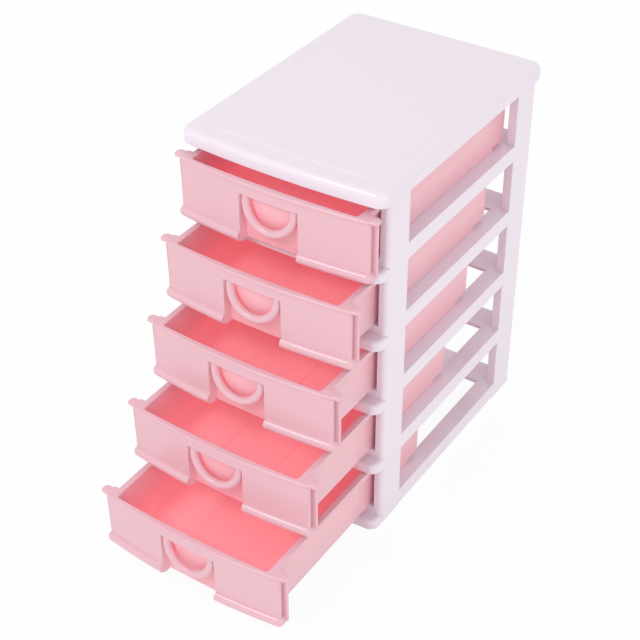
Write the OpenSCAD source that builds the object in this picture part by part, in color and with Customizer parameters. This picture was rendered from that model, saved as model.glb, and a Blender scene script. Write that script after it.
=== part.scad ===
// Tower of mini drawers: five like tiers plugged onto one another, a cover and five drawers.
// The drawers open towards -Y. z = 0 is the plane of the feet, and x = y = 0 is the middle of the posts.

/* [Tiers] */
// Width over the posts
frame_w = 125; // [115:1:150]
// Depth over the posts
frame_d = 165.6; // [150:0.2:200]
// Rise from one tier to the next
tier_pitch = 45.1; // [43:0.1:60]
// Height of a ring, from its feet to the runners that carry a drawer
ring_h = 11.3; // [10:0.1:15]
// Gap under a rail, between its feet
foot_lift = 0.8; // [0.5:0.1:3]
// Wall of the rings
ring_wall = 2; // [1.5:0.1:2.4]
// Width of a side rail
rail_w = 11; // [10:0.1:12]
// Depth of the front bar's runner
front_bar_d = 10; // [6:0.5:16]
// Depth of the rear bar
rear_bar_d = 20; // [12:0.5:30]
// From the rear bar's back to the posts' rear faces
rear_bar_set = 7.3; // [3:0.1:12]

/* [Posts] */
// Thickness of a post, across the tower
post_t = 5.5; // [4.8:0.1:6.5]
// Depth of a front post
front_post_d = 21; // [14:0.5:28]
// Depth of a rear post
rear_post_d = 23.8; // [16:0.2:30]
// Corner radius of the front posts
front_post_r = 3; // [1:0.1:4]
// Corner radius of the rear posts
rear_post_r = 4.5; // [1:0.1:5]
// Height of the tongue on a post's top
tongue_h = 5; // [3:0.1:7]
// Thickness of a tongue
tongue_t = 2.4; // [1.6:0.1:3]
// From a tongue's ends to its post's edges
tongue_inset = 3.5; // [2:0.1:5]
// Gap round a tongue in its socket
tongue_gap = 0.15; // [0.1:0.05:0.3]

/* [Front lip] */
// Reach of the lip in front of the posts, at its ends
lip_reach = 8.2; // [5:0.1:12]
// How much further the middle of the lip reaches
lip_bow = 2.3; // [1:0.1:4]
// From a runner down to the lip's top
lip_drop = 5.3; // [4:0.1:7]
// Corner radius of the lip
lip_r = 6; // [3:0.1:8]

/* [Cover] */
// Height of the cover over its seat on the posts
cover_h = 11.8; // [10:0.1:16]
// Wall of the cover
cover_wall = 2; // [1.5:0.1:2.6]
// Overhang of the cover at the sides
cover_side = 3; // [1:0.1:4]
// Overhang of the cover at the back
cover_back = 1.7; // [0.5:0.1:4]
// Overhang of the cover over the front lips
cover_front = 2; // [1:0.1:4]
// From the seat up to the skirt's lower edge
skirt_lift = 2.6; // [1:0.1:4]
// Corner radius of the cover
cover_r = 8; // [6:0.1:12]
// Radius of the cover's top edges
cover_edge_r = 4; // [2.5:0.1:4.5]
// Width of the flat border round the cover's raised panel
panel_border = 11; // [8:0.1:16]
// Height of the raised panel over its border
panel_rise = 0.5; // [0.3:0.1:1]

/* [Drawer body] */
// Wall of a drawer's sides and back
drawer_wall = 1.5; // [1.2:0.1:2]
// Thickness of a drawer's floor
floor_t = 1.6; // [1.2:0.1:2.4]
// Width of a drawer's side that stands on a rail
bearing = 2.9; // [1:0.1:3.4]
// How far a drawer's side leans out over its height
side_draft = 0.4; // [0.2:0.1:0.8]
// Gap between a drawer's rim and the posts
side_gap = 0.4; // [0.3:0.1:0.8]
// Gap between a drawer's rim and the rails above it
rim_gap = 2.2; // [1.9:0.1:4]
// Height of the rim
rim_h = 3.6; // [3:0.1:5]
// Thickness of the rim's hanging edge
rim_skirt = 1.2; // [1:0.1:1.6]
// From a shut drawer's back to the posts' rear faces
rear_gap = 20.7; // [14:0.1:28]
// Length of the raised heel under a drawer's back
heel_d = 12.5; // [6:0.5:18]
// Height of the heel
heel_h = 2; // [1:0.1:3]
// Radius of a drawer's inner corners
inner_r = 2; // [1.6:0.1:5]
// Slope along the foot of a drawer's sides
cove = 1.6; // [0.8:0.1:2]
// From a drawer's middle out to the low lines on its floor
line_x = 17.2; // [10:0.2:40]
// Width of those lines
line_w = 0.8; // [0.5:0.1:1.5]
// Height of those lines
line_h = 0.3; // [0.2:0.05:0.6]

/* [Drawer front] */
// How much further the middle of a front stands out than its ends
front_bow = 4.3; // [2:0.1:5]
// From the back of the front block to the plate's face, at its ends
block_d = 4.7; // [4.4:0.1:6]
// Thickness of the front plate at its ends
plate_t = 1.7; // [1.4:0.1:2]
// Thickness of the webs and flanges behind the plate's ends
flange_t = 1.5; // [1.2:0.1:1.8]
// From the plate's ends in to their webs
web_inset = 0.8; // [0.5:0.1:1.5]
// From the posts' outer faces out to the flanges' edges
flange_reach = 0.7; // [0:0.1:1.2]
// From the posts' outer faces in to the plate's ends
plate_inset = 1.9; // [1:0.1:3]
// Thickness of the ledge along the top, with its ears
ledge_t = 1.8; // [1.2:0.1:2.6]
// How far the ledge stands out from the plate
ledge_proud = 1; // [0.5:0.1:1.5]
// From the posts' outer faces in to the ledge's round corners
ledge_inset = 0.9; // [0.5:0.1:1.5]
// Radius of those corners
ledge_r = 4.2; // [2:0.1:5]
// From the posts' outer faces out to the tips of the ears
ear_reach = 2.3; // [1.5:0.1:3]
// Depth of an ear
ear_d = 4.9; // [4.8:0.1:6]
// Radius of an ear's corners
ear_r = 2.1; // [1:0.1:2.3]
// Radius of the neck from an ear to the rim behind it
neck_r = 3; // [1:0.1:4]
// Radius of the rounded bars along the bottom
bar_r = 3.3; // [2.6:0.05:3.6]
// From the plate's face back to the bars' middle line
bar_set = 0.9; // [0.5:0.1:1.5]
// From the runner down to the bars' underside
bar_drop = 6.2; // [5.8:0.1:6.6]
// From the posts' outer faces in to the bars' round ends
bar_inset = 0.1; // [0:0.1:1]
// Gap between the lip and the front over it
lip_gap = 1; // [0.5:0.1:1.5]
// Gap between a shut drawer's front and the lip behind it
shut_gap = 0.3; // [0.2:0.1:1]

/* [Handle] */
// Width of the notch round the handle
notch_w = 38; // [37:0.5:44]
// Height of the notch over the runner
notch_h = 24.1; // [22.5:0.1:25]
// Depth of the finger pocket behind the plate's face
pocket_d = 4.4; // [4:0.1:6]
// How far each side of the pocket leans in towards its back
pocket_draft = 2; // [0.5:0.1:3]
// Radius of the handle's arch, to the middle of its tube
arch_r = 15.5; // [13:0.1:16]
// Radius of the handle's tube
tube_r = 2.4; // [2:0.1:2.8]
// Height of the arch's centre over the runner
arch_z = 21.2; // [20:0.1:21.4]
// How far the arch goes on past a half turn, at each end
root_angle = 14; // [8:1:16]
// From the plate's face back to the arch's tube, at its top
arch_set = 2.8; // [2.4:0.1:3.2]
// Forward lean of the arch
arch_lean = 9; // [0:1:12]

/* [Pose] */
// Opening of the lowest drawer
pull_1 = 89.1; // [0:0.1:117]
// Opening of the second drawer
pull_2 = 59.8; // [0:0.1:117]
// Opening of the third drawer
pull_3 = 37; // [0:0.1:117]
// Opening of the fourth drawer
pull_4 = 19.7; // [0:0.1:117]
// Opening of the top drawer
pull_5 = 2.6; // [0:0.1:117]

/* [Hidden] */
$fn = 64;
// Facets on a whole turn of the long, slight bows
BOW_FN = 256;
// Facets on a whole turn inside a hull
HULL_FN = 32;
// Steps in a quarter turn of the cover's top edge
EDGE_STEPS = 6;
// Overlap of pieces that join, and overrun of cuts
JOIN = 0.5;
CUT = 1;
// How far a corner's circle reaches over the bow it meets, and a ball over its bar
CROSSING = 0.04;
// Bow of a tub's inner face, as a share of its plate's
CAVITY_BOW = 0.4;

FRAME_COLOUR = [0.95, 0.91, 0.95];
DRAWER_COLOUR = [0.96, 0.77, 0.81];

pulls = [pull_1, pull_2, pull_3, pull_4, pull_5];
tier_count = len(pulls);
seat_z = tier_count * tier_pitch;

half_w = frame_w / 2;
half_d = frame_d / 2;
rail_x = half_w - rail_w;
post_x = half_w - post_t;

// Lip: its outline is one arc between rounded corners
lip_half = half_w - lip_r;
lip_arc_r = bow_radius(lip_half, lip_bow);
lip_front = -half_d - lip_reach - lip_bow;
lip_top = ring_h - lip_drop;

// Drawer, in its own frame: z = 0 is the runner, y = 0 the back of its front block
window_h = tier_pitch - ring_h + foot_lift;
rim_top = window_h - rim_gap;
rim_z = rim_top - rim_h;
rim_half = post_x - side_gap;
body_half = min(rail_x + bearing, rim_half - rim_skirt - JOIN);
cavity_half = body_half - side_draft - drawer_wall;
// A shut drawer's front stands before the lip
shut_y = -half_d - lip_reach - max(0, lip_bow - front_bow) - shut_gap;
drawer_back = half_d - rear_gap - shut_y;
plate_half = half_w - plate_inset;
web_half = plate_half - web_inset;
flange_half = half_w + flange_reach;
ledge_half = half_w - ledge_inset;
ledge_z = rim_top - ledge_t;
ear_half = half_w + ear_reach;
plate_arc_r = bow_radius(plate_half, front_bow);
plate_front = -block_d - front_bow;
bar_z = -bar_drop + bar_r;
bar_top = bar_z + bar_r;
bar_end = half_w - bar_inset - bar_r;
bar_arc_r = plate_arc_r - bar_set;
notch_half = notch_w / 2;
pocket_back = plate_front + pocket_d;
// The tub's inner face follows the plate, but flatter
cavity_bow = front_bow * CAVITY_BOW;
cavity_front = plate_front + plate_t + drawer_wall;
cavity_arc_r = bow_radius(cavity_half, cavity_bow);

// Radius of an arc from half its chord and its rise
function bow_radius(half_chord, rise) = (half_chord * half_chord + rise * rise) / (2 * rise);

// Copies the children to the left as well
module both_sides() {
    children();
    mirror([1, 0, 0]) children();
}

// What is cut off a square corner at the origin to round it
module spandrel(r) {
    difference() {
        translate([-CUT, -CUT]) square(r + CUT);
        translate([r, r]) circle(r);
    }
}

// Rounds the two far corners of the outline under it
module round_back(half, back, r) {
    difference() {
        children();
        both_sides() translate([-half, back]) mirror([0, 1]) spandrel(r);
    }
}

// Outline with straight sides, a front edge that is one arc, and round front corners.
// The corners' circles cross the arc by a hair, because edges that only touch vanish.
module bowed_plan(half, front, back, arc_r, corner_r) {
    centre_y = front + arc_r;
    corner_x = half - corner_r;
    corner_y = centre_y - sqrt(pow(arc_r - corner_r, 2) - pow(corner_x, 2)) - CROSSING;
    intersection() {
        translate([0, centre_y]) circle(arc_r, $fn = BOW_FN);
        union() {
            translate([-corner_x, front - CUT]) square([2 * corner_x, back - front + CUT]);
            translate([-half, corner_y]) square([2 * half, back - corner_y]);
            both_sides() translate([corner_x, corner_y]) circle(corner_r);
        }
    }
}

// ---- Tiers ----

// Outline over the posts
module post_plan() {
    difference() {
        translate([-half_w, -half_d]) square([frame_w, frame_d]);
        both_sides() translate([-half_w, -half_d]) spandrel(front_post_r);
        both_sides() translate([-half_w, half_d]) mirror([0, 1]) spandrel(rear_post_r);
    }
}

// The right-hand posts' footprints, drawn in by a margin
module post_pads(margin_x, margin_y) {
    for (pad = [[-half_d, front_post_d], [half_d - rear_post_d, rear_post_d]]) {
        translate([post_x + margin_x, pad[0] + margin_y])
            square([post_t - 2 * margin_x, pad[1] - 2 * margin_y]);
    }
}

// Four upright columns with the posts' outline
module columns(z0, z1) {
    translate([0, 0, z0]) linear_extrude(z1 - z0) intersection() {
        post_plan();
        both_sides() post_pads(0, 0);
    }
}

// The tongues on the posts' tops, or with a gap their sockets
module tongues(gap) {
    margin_x = (post_t - tongue_t) / 2 - gap;
    linear_extrude(tongue_h + gap) both_sides() post_pads(margin_x, tongue_inset - gap);
}

// Side rail: a channel open below, so that its inner web holds down the drawer under it
module side_rail() {
    difference() {
        translate([rail_x, -half_d, foot_lift]) cube([rail_w, frame_d, ring_h - foot_lift]);
        translate([rail_x + ring_wall, -half_d + ring_wall, foot_lift - CUT])
            cube([rail_w - 2 * ring_wall, frame_d - 2 * ring_wall, ring_h - ring_wall - foot_lift + CUT]);
    }
}

// Front bar: a runner and the riser behind the lip
module front_bar() {
    translate([-rail_x - JOIN, -half_d, ring_h - ring_wall])
        cube([2 * (rail_x + JOIN), front_bar_d, ring_wall]);
    translate([-rail_x - JOIN, -half_d, foot_lift])
        cube([2 * (rail_x + JOIN), ring_wall, ring_h - foot_lift]);
}

// Rear bar: a runner with a web along its back
module rear_bar() {
    bar_back = half_d - rear_bar_set;
    translate([-rail_x - JOIN, bar_back - rear_bar_d, ring_h - ring_wall])
        cube([2 * (rail_x + JOIN), rear_bar_d, ring_wall]);
    translate([-rail_x - JOIN, bar_back - ring_wall, foot_lift])
        cube([2 * (rail_x + JOIN), ring_wall, ring_h - foot_lift]);
}

// Bowed lip in front of the posts, a step below the runners and hollow below
module lip() {
    difference() {
        linear_extrude(lip_top)
            bowed_plan(half_w, lip_front, -half_d + ring_wall, lip_arc_r, lip_r);
        translate([0, 0, -CUT]) linear_extrude(lip_top - ring_wall + CUT) bowed_plan(
            half_w - ring_wall, lip_front + ring_wall, -half_d, lip_arc_r - ring_wall, lip_r - ring_wall);
    }
}

module ring() {
    difference() {
        union() {
            intersection() {
                both_sides() side_rail();
                linear_extrude(ring_h) post_plan();
            }
            front_bar();
            rear_bar();
            lip();
            columns(0, ring_h);
        }
        translate([0, 0, -tongue_gap]) tongues(tongue_gap);
    }
}

module tier(level) {
    color(FRAME_COLOUR) translate([0, 0, (level - 1) * tier_pitch]) {
        ring();
        columns(ring_h - JOIN, tier_pitch);
        translate([0, 0, tier_pitch - JOIN]) linear_extrude(tongue_h + JOIN)
            both_sides() post_pads((post_t - tongue_t) / 2, tongue_inset);
    }
}

// ---- Cover ----

cover_half = half_w + cover_side;
cover_rear = half_d + cover_back;
cover_nose = lip_front - cover_front;
cover_arc_r = bow_radius(cover_half - cover_r, lip_bow);

// Outline of the cover, drawn in by an inset
module cover_plan(inset) {
    corner_r = max(cover_r - inset, cover_wall);
    round_back(cover_half - inset, cover_rear - inset, corner_r)
        bowed_plan(cover_half - inset, cover_nose + inset, cover_rear - inset, cover_arc_r - inset, corner_r);
}

// Closed body with a rounded top edge
module cover_body(z0, z1) {
    hull() {
        translate([0, 0, z0]) linear_extrude(CUT) cover_plan(0, $fn = HULL_FN);
        for (step = [0:EDGE_STEPS]) {
            angle = 90 * step / EDGE_STEPS;
            translate([0, 0, z1 - cover_edge_r * (1 - sin(angle)) - JOIN]) linear_extrude(JOIN)
                cover_plan(cover_edge_r * (1 - cos(angle)), $fn = HULL_FN);
        }
    }
}

module cover() {
    roof_z = cover_h - panel_rise;
    color(FRAME_COLOUR) translate([0, 0, seat_z]) difference() {
        union() {
            difference() {
                cover_body(0, roof_z);
                translate([-cover_half - CUT, cover_nose - CUT, -CUT])
                    cube([2 * (cover_half + CUT), cover_rear - cover_nose + 2 * CUT, skirt_lift + CUT]);
                translate([0, 0, -CUT]) linear_extrude(roof_z - cover_wall + CUT) cover_plan(cover_wall);
            }
            // Raised panel
            translate([0, 0, roof_z - JOIN]) linear_extrude(panel_rise + JOIN) cover_plan(panel_border);
            // Ribs that hold down the top drawer's rim
            both_sides() translate([rail_x, -half_d, foot_lift])
                cube([cover_wall, frame_d, roof_z - foot_lift - cover_wall + JOIN]);
            columns(0, roof_z - cover_wall + JOIN);
            // The web over the top drawer's front
            translate([-half_w, -half_d, 0]) cube([frame_w, cover_wall, roof_z - cover_wall + JOIN]);
        }
        translate([0, 0, -tongue_gap]) tongues(tongue_gap);
    }
}

// ---- Drawers ----

// Open-topped tub with leaning sides and a raised heel
module tub() {
    step_y = drawer_back - heel_d - floor_t;
    outline = [
        [-body_half + side_draft, 0],
        [body_half - side_draft, 0],
        [body_half, rim_top],
        [-body_half, rim_top]
    ];
    difference() {
        intersection() {
            translate([0, drawer_back, 0]) rotate([90, 0, 0])
                linear_extrude(drawer_back - plate_front) polygon(outline);
            linear_extrude(rim_top) bowed_plan(
                half_w, plate_front + JOIN, drawer_back, plate_arc_r - JOIN, drawer_wall);
        }
        translate([0, 0, floor_t]) linear_extrude(rim_top) tub_cavity_plan();
        translate([-half_w, drawer_back - heel_d, -CUT]) cube([frame_w, heel_d + CUT, heel_h + CUT]);
    }
    // The floor steps up over the heel
    translate([-cavity_half, step_y, 0]) cube([2 * cavity_half, floor_t, heel_h + floor_t]);
    translate([-cavity_half - JOIN, step_y, heel_h])
        cube([2 * (cavity_half + JOIN), heel_d + floor_t - JOIN, floor_t]);
    // Slopes at the foot of the sides, and two low lines on the floor
    both_sides() translate([0, step_y + JOIN, 0]) rotate([90, 0, 0]) {
        linear_extrude(step_y - cavity_front - inner_r) polygon([
            [cavity_half + JOIN, floor_t - JOIN],
            [cavity_half + JOIN, floor_t + cove + JOIN],
            [cavity_half - cove - JOIN, floor_t - JOIN]
        ]);
        translate([line_x, 0, 0]) linear_extrude(step_y - cavity_front - inner_r)
            square([line_w, floor_t + line_h]);
    }
}

module tub_cavity_plan() {
    round_back(cavity_half, drawer_back - drawer_wall, inner_r) bowed_plan(
        cavity_half, cavity_front, drawer_back - drawer_wall, cavity_arc_r, inner_r);
}

// Rim along both sides: a shelf with a hanging edge
module side_rims() {
    both_sides() difference() {
        translate([cavity_half + JOIN, -JOIN, rim_z])
            cube([rim_half - cavity_half - JOIN, drawer_back + JOIN, rim_h]);
        translate([body_half, 0, rim_z - CUT])
            cube([rim_half - rim_skirt - body_half, drawer_back + CUT, rim_h - drawer_wall + CUT]);
    }
}

// Disc that an outline is cut with to follow the plate, a step behind its face
module plate_disc(set) {
    translate([0, plate_front + plate_arc_r]) circle(plate_arc_r - set, $fn = BOW_FN);
}

// Bowed plate, with a web and a flange behind each end
module front_block() {
    foot_z = bar_z - JOIN;
    translate([0, 0, bar_top - JOIN]) linear_extrude(ledge_z - bar_top + 2 * JOIN) difference() {
        bowed_plan(plate_half, plate_front, 0, plate_arc_r, plate_t / 2);
        plate_disc(plate_t);
    }
    translate([0, 0, foot_z]) linear_extrude(ledge_z + JOIN - foot_z) intersection() {
        both_sides() translate([web_half - flange_t, plate_front]) square([flange_t, -plate_front]);
        plate_disc(plate_t / 2);
    }
    both_sides() translate([web_half - flange_t, -flange_t, foot_z])
        cube([flange_half - web_half + flange_t, flange_t, ledge_z + JOIN - foot_z]);
}

// Outline of the ledge over the plate: a bow with an ear at each end
module ledge_plan() {
    bowed_plan(ledge_half, plate_front - ledge_proud, 0, plate_arc_r + ledge_proud, ledge_r);
    difference() {
        translate([-ear_half, -ear_d]) square([2 * ear_half, ear_d]);
        both_sides() {
            translate([-ear_half, -ear_d]) spandrel(ear_r);
            translate([-ear_half, 0]) mirror([0, 1]) spandrel(ear_r);
        }
    }
    // Necks behind the ears
    both_sides() translate([rim_half, 0]) spandrel(neck_r);
}

module ledge() {
    translate([0, 0, ledge_z]) linear_extrude(ledge_t) difference() {
        ledge_plan();
        tub_cavity_plan();
    }
}

// Rounded bars that hang in front of the lip, swept along the bow.
// Each ends in a ball, and turns back there to the flange.
module bottom_bars() {
    sweep = asin(bar_end / bar_arc_r);
    bow_y = plate_front + plate_arc_r;
    end_y = bow_y - sqrt(pow(bar_arc_r, 2) - pow(bar_end, 2));
    fill_z = -lip_drop + lip_gap;
    translate([0, bow_y, 0]) rotate([0, 0, -90 - sweep]) rotate_extrude(angle = 2 * sweep, $fn = BOW_FN) {
        translate([bar_arc_r, bar_z]) circle(bar_r);
        translate([plate_arc_r - block_d, fill_z]) square([block_d - bar_set, bar_top - fill_z]);
    }
    both_sides() translate([bar_end, end_y, bar_z]) {
        rotate([0, 90, 0]) sphere(bar_r + CROSSING);
        rotate([-90, 0, 0]) cylinder(r = bar_r, h = -end_y - JOIN);
    }
}

// Plan of the finger pocket, with its sides leaning in, grown by a wall
module pocket_plan(grow, front) {
    polygon([
        [-notch_half - grow, front],
        [notch_half + grow, front],
        [notch_half + grow, plate_front],
        [notch_half - pocket_draft + grow, pocket_back + grow],
        [-notch_half + pocket_draft - grow, pocket_back + grow],
        [-notch_half - grow, plate_front]
    ]);
}

// Arch moulded into the notch, leaning forward at the bottom
module arch() {
    translate([0, plate_front + arch_set, arch_z]) rotate([90 - arch_lean, 0, 0])
        rotate([0, 0, 180 - root_angle]) rotate_extrude(angle = 180 + 2 * root_angle)
            translate([arch_r, 0]) circle(tube_r);
}

module drawer(level) {
    color(DRAWER_COLOUR) translate([0, shut_y - pulls[level - 1], (level - 1) * tier_pitch + ring_h]) {
        difference() {
            union() {
                tub();
                side_rims();
                front_block();
                ledge();
                bottom_bars();
                translate([0, 0, -CUT]) linear_extrude(notch_h + drawer_wall + CUT) intersection() {
                    pocket_plan(drawer_wall, plate_front);
                    plate_disc(JOIN);
                }
            }
            translate([0, 0, -bar_drop - CUT]) linear_extrude(notch_h + bar_drop + CUT)
                pocket_plan(0, plate_front - notch_half);
        }
        arch();
    }
}

tier(1);  // tier_1
tier(2);  // tier_2
tier(3);  // tier_3
tier(4);  // tier_4
tier(5);  // tier_5
cover();
drawer(1);  // drawer_1
drawer(2);  // drawer_2
drawer(3);  // drawer_3
drawer(4);  // drawer_4
drawer(5);  // drawer_5
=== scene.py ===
import math

import bmesh
import bpy
from mathutils import Matrix, Vector


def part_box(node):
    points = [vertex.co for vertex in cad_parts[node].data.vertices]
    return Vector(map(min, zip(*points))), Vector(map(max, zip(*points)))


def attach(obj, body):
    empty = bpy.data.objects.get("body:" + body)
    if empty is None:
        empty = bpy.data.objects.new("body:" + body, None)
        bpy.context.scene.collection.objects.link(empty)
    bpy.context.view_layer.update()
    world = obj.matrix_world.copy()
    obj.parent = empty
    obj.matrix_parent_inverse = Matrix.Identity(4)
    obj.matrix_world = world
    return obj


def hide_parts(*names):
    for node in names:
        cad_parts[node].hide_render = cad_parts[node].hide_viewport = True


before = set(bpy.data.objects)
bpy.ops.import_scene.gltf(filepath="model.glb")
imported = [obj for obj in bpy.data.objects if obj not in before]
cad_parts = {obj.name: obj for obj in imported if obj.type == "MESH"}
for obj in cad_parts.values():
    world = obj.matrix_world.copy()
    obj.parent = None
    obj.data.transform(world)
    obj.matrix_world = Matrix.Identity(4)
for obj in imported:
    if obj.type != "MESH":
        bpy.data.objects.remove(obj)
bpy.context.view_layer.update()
scene = bpy.context.scene
scene.view_settings.view_transform = "Standard"
print("frame loaded")

mm = 0.001
near = 0.05 * mm  # how close two heights are that count as one
levels = range(1, 6)  # counted from the lowest tier

# The view that the photograph was taken from
cameraView = {
    "azimuth": 33.873,  # degrees to the right of the front
    "elevation": 36.941,
    "roll": -0.344,
    "distance": 828.6 * mm,
    "target": Vector((2.75, -58.1, 113.4)) * mm,
    "lens": 79.817,
    "sensor": 36.0,
    "clip": (0.01, 50),
}


def directionTo(azimuth, elevation):
    # From the object towards a camera or lamp, in degrees to the right of the front and up
    a, e = math.radians(azimuth), math.radians(elevation)
    return Vector((math.sin(a) * math.cos(e), -math.cos(a) * math.cos(e), math.sin(e)))


def makeCamera(view):
    back = directionTo(view["azimuth"], view["elevation"])
    roll = math.radians(view["roll"])
    flatRight = (-back).cross(Vector((0, 0, 1))).normalized()
    flatUp = flatRight.cross(-back)
    right = flatRight * math.cos(roll) + flatUp * math.sin(roll)
    up = flatUp * math.cos(roll) - flatRight * math.sin(roll)
    data = bpy.data.cameras.new("photoCamera")
    data.sensor_width = view["sensor"]
    data.lens = view["lens"]
    data.clip_start, data.clip_end = view["clip"]
    camera = bpy.data.objects.new("photoCamera", data)
    turn = Matrix((right, up, back)).transposed()
    place = view["target"] + back * view["distance"]
    camera.matrix_world = Matrix.Translation(place) @ turn.to_4x4()
    scene.collection.objects.link(camera)
    return camera


scene.camera = makeCamera(cameraView)
print("camera placed")

studio = {
    "bounces": 24,  # light bounces often among the pale walls of an open drawer
    "diffuseBounces": 20,
    "worldLight": 0.82,  # even light from all round
    "worldColour": (1.0, 1.0, 1.0),
    "floorSize": 8.0,
    "floorDrop": 0.2 * mm,  # under the feet
    "floorColour": (0.93, 0.93, 0.93),
    "floorGlow": 0.94,  # share of the floor that is plain white to the camera
    "aim": Vector((0, -50, 110)) * mm,
    "lamps": {
        # name: azimuth, elevation, distance, width, height, watts
        "keyLamp": (-23, 45, 1.5, 0.34, 0.30, 4.8),
        "sideLamp": (70, 14, 1.3, 0.6, 0.6, 2.2),
    },
}


def makeWorld(settings):
    world = bpy.data.worlds.new("studioWorld")
    world.use_nodes = True
    tree = world.node_tree
    tree.nodes.clear()
    output = tree.nodes.new("ShaderNodeOutputWorld")
    blend = tree.nodes.new("ShaderNodeMixShader")
    light = tree.nodes.new("ShaderNodeBackground")
    light.inputs["Color"].default_value = (*settings["worldColour"], 1)
    light.inputs["Strength"].default_value = settings["worldLight"]
    seen = tree.nodes.new("ShaderNodeBackground")
    seen.inputs["Color"].default_value = (1, 1, 1, 1)
    tree.links.new(seenDirectly(tree), blend.inputs[0])
    tree.links.new(light.outputs[0], blend.inputs[1])
    tree.links.new(seen.outputs[0], blend.inputs[2])
    tree.links.new(blend.outputs[0], output.inputs[0])
    scene.world = world


def seenDirectly(tree):
    # 1 for rays from the camera and for those that mirror or pass on what is there
    path = tree.nodes.new("ShaderNodeLightPath")
    seen = path.outputs["Is Camera Ray"]
    for ray in ("Is Glossy Ray", "Is Transmission Ray"):
        either = tree.nodes.new("ShaderNodeMath")
        either.operation = "MAXIMUM"
        tree.links.new(seen, either.inputs[0])
        tree.links.new(path.outputs[ray], either.inputs[1])
        seen = either.outputs[0]
    return seen


def makeFloor(settings):
    bm = bmesh.new()
    bmesh.ops.create_grid(bm, x_segments=1, y_segments=1, size=settings["floorSize"] / 2)
    bmesh.ops.translate(bm, verts=bm.verts, vec=(0, 0, -settings["floorDrop"]))
    floor = newObject("floorSheet", bm)
    material = bpy.data.materials.new("paleFloor")
    material.use_nodes = True
    tree = material.node_tree
    surface = tree.nodes["Principled BSDF"]
    surface.inputs["Base Color"].default_value = (*settings["floorColour"], 1)
    surface.inputs["Roughness"].default_value = 1.0
    surface.inputs["Specular IOR Level"].default_value = 0.0
    glow = tree.nodes.new("ShaderNodeEmission")
    share = tree.nodes.new("ShaderNodeMath")
    share.operation = "MULTIPLY"
    share.inputs[1].default_value = settings["floorGlow"]
    tree.links.new(seenDirectly(tree), share.inputs[0])
    blend = tree.nodes.new("ShaderNodeMixShader")
    tree.links.new(share.outputs[0], blend.inputs[0])
    tree.links.new(surface.outputs[0], blend.inputs[1])
    tree.links.new(glow.outputs[0], blend.inputs[2])
    tree.links.new(blend.outputs[0], tree.nodes["Material Output"].inputs["Surface"])
    floor.data.materials.append(material)


def newObject(name, bm):
    mesh = bpy.data.meshes.new(name)
    bm.to_mesh(mesh)
    bm.free()
    made = bpy.data.objects.new(name, mesh)
    scene.collection.objects.link(made)
    return made


def makeLamps(settings):
    for name, (azimuth, elevation, distance, width, height, watts) in settings["lamps"].items():
        back = directionTo(azimuth, elevation)
        data = bpy.data.lights.new(name, "AREA")
        data.shape = "RECTANGLE"
        data.size = width
        data.size_y = height
        data.energy = watts
        lamp = bpy.data.objects.new(name, data)
        lamp.location = settings["aim"] + back * distance
        lamp.rotation_euler = back.to_track_quat("Z", "Y").to_euler()
        scene.collection.objects.link(lamp)


scene.cycles.max_bounces = studio["bounces"]
scene.cycles.diffuse_bounces = studio["diffuseBounces"]
makeWorld(studio)
makeFloor(studio)
makeLamps(studio)
print("studio lit")

framePlastic = {
    "colour": (0.855, 0.765, 0.850),
    "gloss": 0.18,  # roughness, before its patches
    "mottle": 0.01,  # strength of the clouds in the colour
    "skin": 0.03,  # strength of the fine ripple
}
drawerPlastic = {
    "colour": (0.812, 0.492, 0.556),
    "paintedInsideTint": (0.985, 0.445, 0.490),  # painted tint of the light bounced among the walls, down inside a drawer
    "gloss": 0.20,
    "mottle": 0.015,
    "skin": 0.04,
    "glow": (0.190, 0.064, 0.073),  # painted glow, emitted light standing in for light that comes through the thin walls, at full depth
}
skinDetail = {
    "cloudScale": 26,
    "cloudDetail": 3,
    "paintedGlowPower": 2.0,  # the painted glow grows quickly towards the floor
    "patchScale": 140,
    "patchDetail": 2,
    "patchNoise": (0.3, 0.7),
    "patchRoughness": (-0.015, 0.02),
    "rippleScale": 210,
    "rippleDetail": 2,
    "rippleHeight": 0.4 * mm,
}


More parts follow.
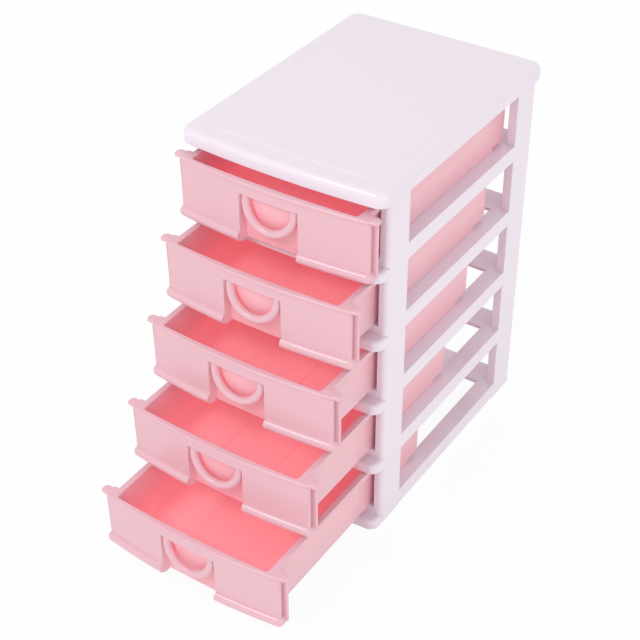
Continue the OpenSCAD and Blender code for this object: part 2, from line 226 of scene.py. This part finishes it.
def makeMouldedSkin(detail):
    # Colour, shine and fine unevenness of a moulded surface, and the painted light inside the drawers:
    # a redder tint and an emitted glow
    group = bpy.data.node_groups.new("mouldedSkin", "ShaderNodeTree")
    for name, kind, low, high in (
        ("Colour", "NodeSocketColor", None, None),
        ("Painted Tint", "NodeSocketColor", None, None),
        ("Painted Light", "NodeSocketFloat", 0, 1),
        ("Gloss", "NodeSocketFloat", 0, 1),
        ("Mottle", "NodeSocketFloat", 0, 1),
        ("Skin", "NodeSocketFloat", 0, 1),
        ("Painted Glow", "NodeSocketColor", None, None),
    ):
        socket = group.interface.new_socket(name, in_out="INPUT", socket_type=kind)
        if low is not None:
            socket.min_value, socket.max_value = low, high
    group.interface.new_socket("Colour", in_out="OUTPUT", socket_type="NodeSocketColor")
    group.interface.new_socket("Roughness", in_out="OUTPUT", socket_type="NodeSocketFloat")
    group.interface.new_socket("Normal", in_out="OUTPUT", socket_type="NodeSocketVector")
    group.interface.new_socket("Painted Glow", in_out="OUTPUT", socket_type="NodeSocketColor")
    nodes, links = group.nodes, group.links
    given = nodes.new("NodeGroupInput")
    result = nodes.new("NodeGroupOutput")
    place = nodes.new("ShaderNodeTexCoord")

    # Broad, faint clouds in the colour, as uneven pigment and flow leave
    clouds = nodes.new("ShaderNodeTexNoise")
    clouds.inputs["Scale"].default_value = detail["cloudScale"]
    clouds.inputs["Detail"].default_value = detail["cloudDetail"]
    links.new(place.outputs["Object"], clouds.inputs["Vector"])
    shift = nodes.new("ShaderNodeMath")
    shift.operation = "SUBTRACT"
    links.new(clouds.outputs["Fac"], shift.inputs[0])
    shift.inputs[1].default_value = 0.5
    amount = nodes.new("ShaderNodeMath")
    amount.operation = "MULTIPLY_ADD"
    links.new(shift.outputs[0], amount.inputs[0])
    links.new(given.outputs["Mottle"], amount.inputs[1])
    amount.inputs[2].default_value = 1.0
    # Painted light: the colour moves towards a redder tint where the mask says the walls tint the
    # bounced light
    depth = nodes.new("ShaderNodeMix")
    depth.data_type = "RGBA"
    links.new(given.outputs["Painted Light"], depth.inputs["Factor"])
    links.new(given.outputs["Colour"], depth.inputs["A"])
    links.new(given.outputs["Painted Tint"], depth.inputs["B"])
    tinted = nodes.new("ShaderNodeVectorMath")
    tinted.operation = "SCALE"
    links.new(depth.outputs["Result"], tinted.inputs[0])
    links.new(amount.outputs[0], tinted.inputs["Scale"])
    links.new(tinted.outputs[0], result.inputs["Colour"])

    # Painted glow: emission standing in for light through the thin walls, growing quickly towards the
    # floor
    steep = nodes.new("ShaderNodeMath")
    steep.operation = "POWER"
    links.new(given.outputs["Painted Light"], steep.inputs[0])
    steep.inputs[1].default_value = detail["paintedGlowPower"]
    shone = nodes.new("ShaderNodeVectorMath")
    shone.operation = "SCALE"
    links.new(given.outputs["Painted Glow"], shone.inputs[0])
    links.new(steep.outputs[0], shone.inputs["Scale"])
    links.new(shone.outputs[0], result.inputs["Painted Glow"])

    # Finer patches where the mould's polish printed through
    patches = nodes.new("ShaderNodeTexNoise")
    patches.inputs["Scale"].default_value = detail["patchScale"]
    patches.inputs["Detail"].default_value = detail["patchDetail"]
    links.new(place.outputs["Object"], patches.inputs["Vector"])
    spread = nodes.new("ShaderNodeMapRange")
    for end, noise, roughness in zip(("Min", "Max"), detail["patchNoise"], detail["patchRoughness"]):
        spread.inputs[f"From {end}"].default_value = noise
        spread.inputs[f"To {end}"].default_value = roughness
    links.new(patches.outputs["Fac"], spread.inputs["Value"])
    rough = nodes.new("ShaderNodeMath")
    rough.operation = "ADD"
    links.new(spread.outputs[0], rough.inputs[0])
    links.new(given.outputs["Gloss"], rough.inputs[1])
    links.new(rough.outputs[0], result.inputs["Roughness"])

    # A slight ripple over a few millimetres, so that reflections are never ruler-straight
    ripple = nodes.new("ShaderNodeTexNoise")
    ripple.inputs["Scale"].default_value = detail["rippleScale"]
    ripple.inputs["Detail"].default_value = detail["rippleDetail"]
    links.new(place.outputs["Object"], ripple.inputs["Vector"])
    bump = nodes.new("ShaderNodeBump")
    bump.inputs["Distance"].default_value = detail["rippleHeight"]
    links.new(given.outputs["Skin"], bump.inputs["Strength"])
    links.new(ripple.outputs["Fac"], bump.inputs["Height"])
    links.new(bump.outputs[0], result.inputs["Normal"])
    return group


mouldedSkin = makeMouldedSkin(skinDetail)


def makePlastic(name, settings):
    material = bpy.data.materials.new(name)
    material.use_nodes = True
    tree = material.node_tree
    surface = tree.nodes["Principled BSDF"]
    skin = tree.nodes.new("ShaderNodeGroup")
    skin.node_tree = mouldedSkin
    skin.inputs["Colour"].default_value = (*settings["colour"], 1)
    skin.inputs["Gloss"].default_value = settings["gloss"]
    skin.inputs["Mottle"].default_value = settings["mottle"]
    skin.inputs["Skin"].default_value = settings["skin"]
    tree.links.new(skin.outputs["Colour"], surface.inputs["Base Color"])
    tree.links.new(skin.outputs["Roughness"], surface.inputs["Roughness"])
    tree.links.new(skin.outputs["Normal"], surface.inputs["Normal"])
    if "paintedInsideTint" in settings:
        # A per-point mask paints a redder tint and an emitted glow inside the drawers, in place of
        # bounced light and light through the walls
        inside = tree.nodes.new("ShaderNodeAttribute")
        inside.attribute_name = "paintedInsideLight"
        tree.links.new(inside.outputs["Fac"], skin.inputs["Painted Light"])
        skin.inputs["Painted Tint"].default_value = (*settings["paintedInsideTint"], 1)
        skin.inputs["Painted Glow"].default_value = (*settings["glow"], 1)
        surface.inputs["Emission Strength"].default_value = 1.0
        tree.links.new(skin.outputs["Painted Glow"], surface.inputs["Emission Color"])
    return material


whitePlastic = makePlastic("paleFramePlastic", framePlastic)
pinkPlastic = makePlastic("pinkDrawerPlastic", drawerPlastic)
print("plastics mixed")

# How every moulding gets its soft edges
edgeSoftening = {
    "weld": 0.02 * mm,
    "shortest": 0.12 * mm,  # edges shorter than this are collapsed
    "flatWithin": 0.4,  # degrees
    "sharpOver": 28,  # degrees
    "widest": 2.0 * mm,  # the rounding of an edge of weight 1
    "segments": 4,
}


def softenedCopy(name, nodeName, roundingOf, body, material, reshape=None):
    # roundingOf gives the rounding of an edge from its two ends, and reshape may move the points first
    bm = bmesh.new()
    bm.from_mesh(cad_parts[nodeName].data)
    bmesh.ops.remove_doubles(bm, verts=bm.verts, dist=edgeSoftening["weld"])
    bmesh.ops.dissolve_degenerate(bm, dist=edgeSoftening["shortest"], edges=bm.edges)
    bmesh.ops.dissolve_limit(
        bm,
        angle_limit=math.radians(edgeSoftening["flatWithin"]),
        use_dissolve_boundaries=False,
        verts=bm.verts,
        edges=bm.edges,
    )
    if reshape:
        reshape(bm)
    weight = bm.edges.layers.float.new("bevel_weight_edge")
    for face in bm.faces:
        face.smooth = True
    for edge in bm.edges:
        if len(edge.link_faces) != 2:
            continue
        edge.smooth = edge.calc_face_angle() < math.radians(edgeSoftening["sharpOver"])
        if not edge.smooth and edge.is_convex and edge.calc_length() > edgeSoftening["shortest"]:
            edge[weight] = roundingOf(*(vert.co for vert in edge.verts)) / edgeSoftening["widest"]
    piece = newObject(name, bm)
    piece.data.materials.clear()
    piece.data.materials.append(material)
    bevel = piece.modifiers.new("softEdges", "BEVEL")
    bevel.width = edgeSoftening["widest"]
    bevel.segments = edgeSoftening["segments"]
    bevel.profile = 0.5
    bevel.limit_method = "WEIGHT"
    bevel.use_clamp_overlap = False
    bevel.harden_normals = False
    weighted = piece.modifiers.new("evenShading", "WEIGHTED_NORMAL")
    weighted.mode = "FACE_AREA"
    weighted.keep_sharp = True
    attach(piece, body)
    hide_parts(nodeName)
    return piece


tierFinish = {
    "edge": 0.4 * mm,
    "lipEdge": 2.0 * mm,
    "lipTop": 6.0 * mm,  # over the feet
    "frontPosts": -82.8 * mm,
    "pitch": 45.1 * mm,
}


def tierRounding(foot):
    def rounding(start, end):
        def bothAt(z):
            return abs(start.z - z) < near and abs(end.z - z) < near

        # Tiers meet without a groove, so the edges on the planes where they meet stay sharp
        if bothAt(foot) or bothAt(foot + tierFinish["pitch"]):
            return 0
        inFront = min(start.y, end.y) < tierFinish["frontPosts"] - near
        return tierFinish["lipEdge" if inFront and bothAt(foot + tierFinish["lipTop"]) else "edge"]

    return rounding


for level in levels:
    foot = (level - 1) * tierFinish["pitch"]
    rounding = tierRounding(foot)
    softenedCopy(f"tierMoulding{level}", f"tier_{level}", rounding, "frame", whitePlastic)
print("tiers finished")

coverFinish = {
    "edge": 0.4 * mm,
    "seat": 225.5 * mm,
    "top": 237.3 * mm,
    "panelSlope": 0.85 * mm,  # how far the raised panel's sides lean inwards
}


def coverRounding(start, end):
    onSeat = max(start.z, end.z) < coverFinish["seat"] + near
    return 0 if onSeat else coverFinish["edge"]


def slopePanel(bm):
    # Draws in the top of the raised panel
    rim = [vert for vert in bm.verts if vert.co.z > coverFinish["top"] - near]
    low = Vector([min(vert.co[axis] for vert in rim) for axis in range(3)])
    high = Vector([max(vert.co[axis] for vert in rim) for axis in range(3)])
    half = (high - low) / 2
    shrink = [1 - coverFinish["panelSlope"] / half.x, 1 - coverFinish["panelSlope"] / half.y, 1]
    bmesh.ops.scale(bm, vec=shrink, space=Matrix.Translation(-(low + high) / 2), verts=rim)


softenedCopy("coverMoulding", "cover", coverRounding, "frame", whitePlastic, slopePanel)
print("cover finished")

# Lengths along the drawer are counted from its back, and heights from its runner
drawerFinish = {
    "edge": 0.3 * mm,
    "ledgeEdge": 0.7 * mm,
    "notchHalf": 19 * mm,
    "floor": 1.6 * mm,
    "floorLow": 1.44 * mm,  # a little under the floor's top
    "depth": 32.4 * mm,  # up to the rim's top
    "insideHalf": 52.7 * mm,
    "outsideHalf": 55.0 * mm,
    "inside": (-159.5 * mm, -1.2 * mm),  # front and back of the drawer's inside
    "pocket": (-158.3 * mm, -157.7 * mm),  # a thin slice round the back of the finger pocket
    "pocketHalf": 18.8 * mm,
    # painted light on the back of the finger pocket
    "pocketPaintedLight": 0.5,
    "blockHalf": 21 * mm,  # the pocket's wall, seen from inside the drawer
    "blockBack": -155.5 * mm,
    "blockTop": 27 * mm,
    # painted light at least this strong on the pocket's wall inside the drawer
    "blockPaintedLight": 0.75,
    "sideStart": -153 * mm,
    "sidePaintedLight": 0.3,  # painted light on the outside of the thin walls, in the shaded gap beside the frame
}


def markPaintedInsideLight(piece, nodeName, settings):
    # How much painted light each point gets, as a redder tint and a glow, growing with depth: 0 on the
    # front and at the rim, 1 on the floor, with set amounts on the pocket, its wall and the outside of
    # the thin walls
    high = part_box(nodeName)[1]
    runner = high.z - settings["depth"]

    def paintedLightOf(place):
        x, y, z = abs(place.x), place.y - high.y, place.z - runner
        if x < settings["pocketHalf"] and settings["pocket"][0] < y < settings["pocket"][1]:
            return settings["pocketPaintedLight"]
        within = x < settings["insideHalf"] and settings["inside"][0] < y < settings["inside"][1]
        if within and z > settings["floorLow"]:
            depth = min(max((settings["depth"] - z) / (settings["depth"] - settings["floor"]), 0), 1)
            besidePocket = x < settings["blockHalf"] and y < settings["blockBack"]
            onBlock = besidePocket and z < settings["blockTop"]
            return max(depth, settings["blockPaintedLight"]) if onBlock else depth
        return settings["sidePaintedLight"] if x < settings["outsideHalf"] and y > settings["sideStart"] else 0

    attribute = piece.data.attributes.new("paintedInsideLight", "FLOAT", "POINT")
    attribute.data.foreach_set("value", [paintedLightOf(vertex.co) for vertex in piece.data.vertices])


def drawerRounding(top):
    def rounding(start, end):
        low = max(start.z, end.z) < top - drawerFinish["depth"] + drawerFinish["floor"]
        # The bars' ends at the notch stay sharp
        if low and min(abs(start.x), abs(end.x)) < drawerFinish["notchHalf"] + near:
            return 0
        onTop = min(start.z, end.z) > top - near
        return drawerFinish["ledgeEdge" if onTop else "edge"]

    return rounding


earKnob = {
    "radius": 2.9 * mm,
    "height": 2.2 * mm,
    "across": 61.9 * mm,  # from the middle to the knob's centre
    "fromBack": 155.3 * mm,
    "proud": 0.05 * mm,
    "edge": 0.6 * mm,
    "edgeSegments": 5,
    "sides": 48,
}


def makeEarKnobs(name, nodeName, settings):
    # Round ends of the two ears on a drawer's rim
    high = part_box(nodeName)[1]
    bm = bmesh.new()
    for side in (-1, 1):
        middle = high.z + settings["proud"] - settings["height"] / 2
        place = Vector((side * settings["across"], high.y - settings["fromBack"], middle))
        bmesh.ops.create_cone(
            bm,
            cap_ends=True,
            segments=settings["sides"],
            radius1=settings["radius"],
            radius2=settings["radius"],
            depth=settings["height"],
            matrix=Matrix.Translation(place),
        )
    sharp = math.radians(edgeSoftening["sharpOver"])
    rims = [edge for edge in bm.edges if edge.calc_face_angle() > sharp]
    bmesh.ops.bevel(
        bm,
        geom=rims,
        offset=settings["edge"],
        offset_type="OFFSET",
        segments=settings["edgeSegments"],
        profile=0.5,
        affect="EDGES",
        material=-1,
    )
    for face in bm.faces:
        face.smooth = True
    piece = newObject(name, bm)
    piece.data.materials.append(pinkPlastic)
    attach(piece, nodeName)


for level in levels:
    node = f"drawer_{level}"
    makeEarKnobs(f"earKnobs{level}", node, earKnob)
    rounding = drawerRounding(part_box(node)[1].z)
    piece = softenedCopy(f"drawerMoulding{level}", node, rounding, node, pinkPlastic)
    markPaintedInsideLight(piece, node, drawerFinish)
print("drawers finished")
